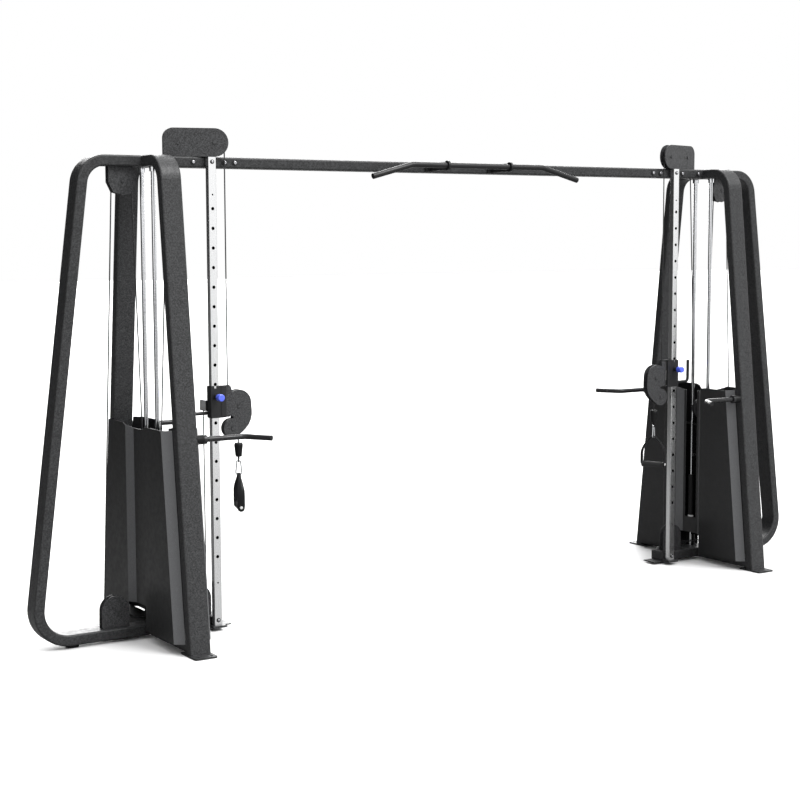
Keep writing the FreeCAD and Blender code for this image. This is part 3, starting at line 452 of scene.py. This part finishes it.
# ---------------------------------------------------------------- webbing handles
def corner_path(points, radii, steps=7):
    """A path with its inner corners rounded."""
    pts = [Vector(p) for p in points]
    out = [pts[0]]
    for i in range(1, len(pts) - 1):
        back = (pts[i - 1] - pts[i]).normalized()
        on = (pts[i + 1] - pts[i]).normalized()
        reach = radii[i - 1]
        a, b = pts[i] + back * reach, pts[i] + on * reach
        for k in range(steps + 1):
            t = k / steps
            out.append(a * (1 - t) ** 2 + pts[i] * 2 * t * (1 - t) + b * t ** 2)
    out.append(pts[-1])
    fine = [out[0]]
    for p in out[1:]:
        gap = (p - fine[-1]).length
        cuts = max(1, int(gap / 0.006))
        start = fine[-1]
        fine += [start.lerp(p, k / cuts) for k in range(1, cuts + 1)]
    return fine


GRIP_Z = 0.577            # grip axis and the top of the strap
CROWN_Z = 0.7351
GRIP_STEPS = 60
GRIP_HALF, GRIP_END, GRIP_R = 0.058, 0.0595, 0.0148      # half the ribbed length, half the whole
BELLY, BELLY_SPAN, RIB, RIB_PITCH = 0.0010, 0.13, 0.00035, 0.0058
GRIP_CAP = [(0.0585, 0.0133), (0.0585, 0.0165), (0.0598, 0.0174), (0.0645, 0.0174), (0.0659, 0.0162),
            (0.0659, 0.0138), (0.0650, 0.0132), (0.0590, 0.0131)]
GRIP_BUTTON = [(0.0672, 0.0001), (0.0672, 0.0070), (0.0702, 0.0072), (0.0714, 0.0066),
               (0.0722, 0.0052), (0.0722, 0.0030), (0.0718, 0.0001)]
BUTTON_RISE = Vector((0, 0, 0.003))
WEB_HALF, NECK_HALF, FOOT_HALF = 0.0178, 0.0075, 0.0122
WEB_THICK, WEB_EDGE = 0.00165, 0.0012
TAPER_FROM_Z, TAPER_LENGTH = 0.660, 0.055
for side, s in SIDES:
    node = "strap_handle_" + side
    mid = centre(node)
    place = Matrix.Translation((mid.x, mid.y, 0)) @ Matrix.Rotation(TURN[side], 4, "Z")
    half_path = [(0.052, 0, GRIP_Z), (0.0683, 0, GRIP_Z), (0.0683, 0, 0.651),
                 (0.0472, 0, 0.6963), (0.0073, 0, CROWN_Z)]
    path = corner_path([(-x, y, z) for x, y, z in half_path] + half_path[::-1],
                       (0.007, 0.020, 0.020, 0.006, 0.006, 0.020, 0.020, 0.007))

    def web_ring(i, path=path):
        z = path[i].z
        narrowing = min(1.0, max(0.0, (z - TAPER_FROM_Z) / TAPER_LENGTH))
        half = WEB_HALF - (WEB_HALF - NECK_HALF) * narrowing
        half = min(half, FOOT_HALF + max(0.0, z - GRIP_Z - 0.001) * 1.2)
        thick, edge = WEB_THICK, WEB_EDGE
        return [(thick, -half + edge), (thick * 1.08, 0), (thick, half - edge), (thick * 0.4, half),
                (-thick * 0.4, half), (-thick, half - edge), (-thick * 1.08, 0), (-thick, -half + edge),
                (-thick * 0.4, -half), (thick * 0.4, -half)]
    verts, faces = swept(path, web_ring)
    strap = piece("webbing_" + side, verts, faces, WEB, None)
    strap.matrix_world = place
    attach(strap, "handle_" + side)
    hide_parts(node)
    grip_profile = [(-GRIP_END, 0.0135), (-GRIP_END, 0.0152)]
    for i in range(GRIP_STEPS + 1):
        x = -GRIP_HALF + 2 * GRIP_HALF * i / GRIP_STEPS
        belly = BELLY * math.cos(math.pi * x / BELLY_SPAN)
        rib = RIB * math.cos(2 * math.pi * x / RIB_PITCH)
        grip_profile.append((x, GRIP_R + belly + rib))
    grip_profile += [(GRIP_END, 0.0152), (GRIP_END, 0.0135)]
    grip_axis = place.to_3x3() @ Vector((1, 0, 0))
    at = place @ Vector((0, 0, GRIP_Z))
    turned("hand_grip_" + side, grip_profile, at, grip_axis, FOAM, "handle_" + side)
    for k, way in enumerate((-1, 1)):
        turned("grip_cap_%s_%d" % (side, k), GRIP_CAP, at, grip_axis * way, CAPS,
               "handle_" + side)
        turned("grip_button_%s_%d" % (side, k), GRIP_BUTTON, at + BUTTON_RISE,
               grip_axis * way, PALE, "handle_" + side)


# ---------------------------------------------------------------- small fittings
COLLAR = [(0.0, 0.0132), (0.0, 0.0205), (0.002, 0.0216), (0.034, 0.0216), (0.0365, 0.0216)]
COLLAR_X, COLLAR_Y, COLLAR_Z = 1.6105, 0.3584, 0.946
BUMP_CAP = [(0.0, 0.0055), (0.0, 0.0150), (0.0015, 0.0158), (0.009, 0.0158), (0.0105, 0.0150)]
BUMP_X, BUMP_Y, BUMP_Z = 1.651, 0.015, 0.2365
BLOCK_HALF_W, BLOCK_HALF_D, BLOCK_H, BLOCK_CORNER = 0.0129, 0.0326, 0.0504, 0.003
BLOCK_Y = -0.0202
for side, s in SIDES:
    # dark collars on the fixed grips
    for k, y in enumerate((-1, 1)):
        turned("grip_collar_%s_%d" % (side, k), COLLAR, (s * COLLAR_X, y * COLLAR_Y, COLLAR_Z),
               (s, 0, 0), RUBBER, "frame")
    # pale ring under the bump sleeve
    turned("bump_cap_" + side, BUMP_CAP, (s * BUMP_X, BUMP_Y, BUMP_Z), (0, 0, 1), PALE,
           "frame")

    # pale swaged block that ends the lower cable at the carriage
    low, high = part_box("cable_lower_run_" + side)
    x_mid, z_low = (low.x + high.x) / 2, high.z
    w, d, h, r = BLOCK_HALF_W, BLOCK_HALF_D, BLOCK_H, BLOCK_CORNER
    ring = [(w - r, -d), (w, -d + r), (w, d - r), (w - r, d),
            (-w + r, d), (-w, d - r), (-w, -d + r), (-w + r, -d)]
    levels = [(-0.0004, 0.0013), (0.0016, 0.0), (h - 0.002, 0.0), (h, 0.0013)]
    verts = [(x_mid + math.copysign(abs(a) - inset, a), BLOCK_Y + math.copysign(abs(b) - inset, b),
              z_low + z) for z, inset in levels for a, b in ring]
    faces = [(i * 8 + k, i * 8 + (k + 1) % 8, i * 8 + 8 + (k + 1) % 8, i * 8 + 8 + k)
             for i in range(3) for k in range(8)]
    faces += [tuple(range(8))[::-1], tuple(range(24, 32))]
    piece("cable_block_" + side, verts, faces, ALLOY, "carriage_" + side, smooth=False)

# bright domed screws in the black bolt heads, and the axle ends in the guards
BEAM_BOLT_X, BEAM_BOLT_Z = (1.279, 1.332, 1.492, 1.611), 2.185
BEAM_FACE_Y, BEAM_HEAD, BEAM_SCREW_R = -0.05, 0.0074, 0.0075
POST_BOLT_X, POST_BOLT_Z = 1.415, (0.049, 2.186)
POST_FACE_Y, POST_HEAD, POST_SCREW_R = -0.09, 0.0052, 0.0055
AXLE_SCREW_R = 0.0052
GUARD_YAW = math.radians(15.5)     # the top guards are turned to face the handles
GUARD_OUT = 0.0170                 # from a guard's middle to its outer face
FRONT = Vector((0, -1, 0))
spots = []
for s in (1.0, -1.0):
    for x in BEAM_BOLT_X:
        spots.append((Vector((s * x, BEAM_FACE_Y - BEAM_HEAD, BEAM_BOLT_Z)), FRONT, BEAM_SCREW_R))
    for z in POST_BOLT_Z:
        spots.append((Vector((s * POST_BOLT_X, POST_FACE_Y - POST_HEAD, z)), FRONT, POST_SCREW_R))
for side, s in SIDES:
    for stem in ("top_inner_pulley_", "top_outer_pulley_"):
        mid = centre(stem + side)
        out = Vector((s * math.sin(GUARD_YAW), -math.cos(GUARD_YAW), 0))
        spots.append((mid + out * GUARD_OUT, out, AXLE_SCREW_R))
verts, faces = [], []
for at, out, r in spots:
    dome = [(-0.0004, r), (0.0006, r * 0.98), (0.0013, r * 0.80), (0.0014, r * 0.5), (0.0004, r * 0.42),
            (0.0004, 0.0001)]
    more, rings = lathe(dome, at, out, 18)
    faces += [tuple(i + len(verts) for i in ring) for ring in rings]
    verts += more
sharpen(piece("bolt_screws", verts, faces, BOLTS, "frame"))


# ---------------------------------------------------------------- floor, light
DARK_WAY = (-0.60, 0.80, 0.0)      # the studio's unlit side
FLOOR_HALF = 60
FLOOR_DROP = 0.0005


def grey(level):
    return (level, level, level)


def stage_floor():
    """A pale floor to look at, which throws back less light, and least from the unlit side."""
    n = Nodes("studio_floor")
    pale = n.mix(n.span(n.noise(0.6, 2.0), 0.3, 0.7), grey(0.90), grey(0.93))
    seen = n.tree.nodes.new("ShaderNodeLightPath").outputs["Is Camera Ray"]
    place = n.add("ShaderNodeVectorMath")
    place.operation = "DOT_PRODUCT"
    n.put(place.inputs[0], n.coords)
    place.inputs[1].default_value = DARK_WAY
    across = place.outputs["Value"]
    far = n.span(across, 2.0, 6.0)
    near = n.span(across, -6.0, -2.0)
    bounce = n.mix(far, n.mix(near, grey(0.27), grey(0.22)), grey(0.03))
    n.set(Base_Color=n.mix(seen, bounce, pale))
    n.set(Roughness=0.6)
    n.set(Specular_IOR_Level=0.25)
    mesh = bpy.data.meshes.new("studio_floor")
    corners = [(-FLOOR_HALF, -FLOOR_HALF, 0), (FLOOR_HALF, -FLOOR_HALF, 0),
               (FLOOR_HALF, FLOOR_HALF, 0), (-FLOOR_HALF, FLOOR_HALF, 0)]
    mesh.from_pydata(corners, [], [(0, 1, 2, 3)])
    mesh.materials.append(n.mat)
    obj = bpy.data.objects.new("studio_floor", mesh)
    obj.location.z = -FLOOR_DROP
    bpy.context.scene.collection.objects.link(obj)


stage_floor()
world = bpy.data.worlds.new("studio")
world.use_nodes = True
tree = world.node_tree
aim = tree.nodes.new("ShaderNodeVectorMath")
aim.operation = "DOT_PRODUCT"
tree.links.new(tree.nodes.new("ShaderNodeTexCoord").outputs["Generated"], aim.inputs[0])
aim.inputs[1].default_value = DARK_WAY
fade = tree.nodes.new("ShaderNodeMapRange")
fade.interpolation_type = "SMOOTHSTEP"
tree.links.new(aim.outputs["Value"], fade.inputs["Value"])
for key, number in (("From Min", 0.05), ("From Max", 0.80), ("To Min", 1.05), ("To Max", 0.03)):
    fade.inputs[key].default_value = number
plain = tree.nodes.new("ShaderNodeMix")
tree.links.new(tree.nodes.new("ShaderNodeLightPath").outputs["Is Camera Ray"], plain.inputs[0])
tree.links.new(fade.outputs["Result"], plain.inputs[2])
plain.inputs[3].default_value = 1.0
tree.links.new(plain.outputs[0], tree.nodes["Background"].inputs["Strength"])
tree.nodes["Background"].inputs["Color"].default_value = (1.0, 1.0, 1.0, 1.0)
bpy.context.scene.world = world
bpy.context.scene.view_settings.view_transform = "Standard"


def lamp(name, strength, azimuth, elevation, angle):
    """A soft sun from a compass heading (degrees from +X towards +Y) and a height."""
    data = bpy.data.lights.new(name, "SUN")
    data.energy = strength
    data.angle = math.radians(angle)
    obj = bpy.data.objects.new(name, data)
    a, e = math.radians(azimuth), math.radians(elevation)
    way = Vector((math.cos(a) * math.cos(e), math.sin(a) * math.cos(e), math.sin(e)))
    obj.rotation_euler = way.to_track_quat("Z", "Y").to_euler()
    obj.location = way * 8.0
    bpy.context.scene.collection.objects.link(obj)


lamp("key", 2.6, -62.0, 46.0, 30.0)
lamp("top", 1.2, 60.0, 78.0, 60.0)
lamp("back", 2.4, 62.0, 20.0, 40.0)
